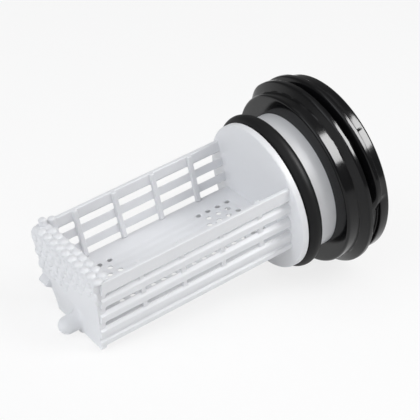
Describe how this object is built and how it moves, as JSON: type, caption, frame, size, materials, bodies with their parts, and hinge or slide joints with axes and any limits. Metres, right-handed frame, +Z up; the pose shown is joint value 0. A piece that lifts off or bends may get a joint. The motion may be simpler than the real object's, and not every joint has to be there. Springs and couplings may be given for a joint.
{
  "type": "drain pump filter",
  "caption": "Screw-in drain pump filter: an open slotted strainer trough on a round plug with a rubber seal, and a threaded cap that turns round the plug's neck.",
  "frame": {"origin": "middle of the plug's rim, on the part's long axis", "axes": "+Z up, as the part lies on a table; the long axis runs from the strainer's tip to the cap and rises 12.78 degrees from +X towards +Z, because the cap is wider than the trough; the trough opens upwards"},
  "size_m": [0.1025, 0.0606, 0.061],
  "materials": {
    "white_plastic": "moulded, satin",
    "black_rubber": "matt",
    "black_plastic": "moulded, glossy"
  },
  "bodies": {
    "insert": {"strainer_insert": "white_plastic", "seal_ring": "black_rubber"},
    "cap": {"screw_cap": "black_plastic"}
  },
  "joints": [
    {"name": "cap_turn", "type": "hinge", "parent": "insert", "child": "cap", "pos_m": [0, 0, 0], "axis": [0.9752, 0, 0.2213], "continuous": true}
  ]
}
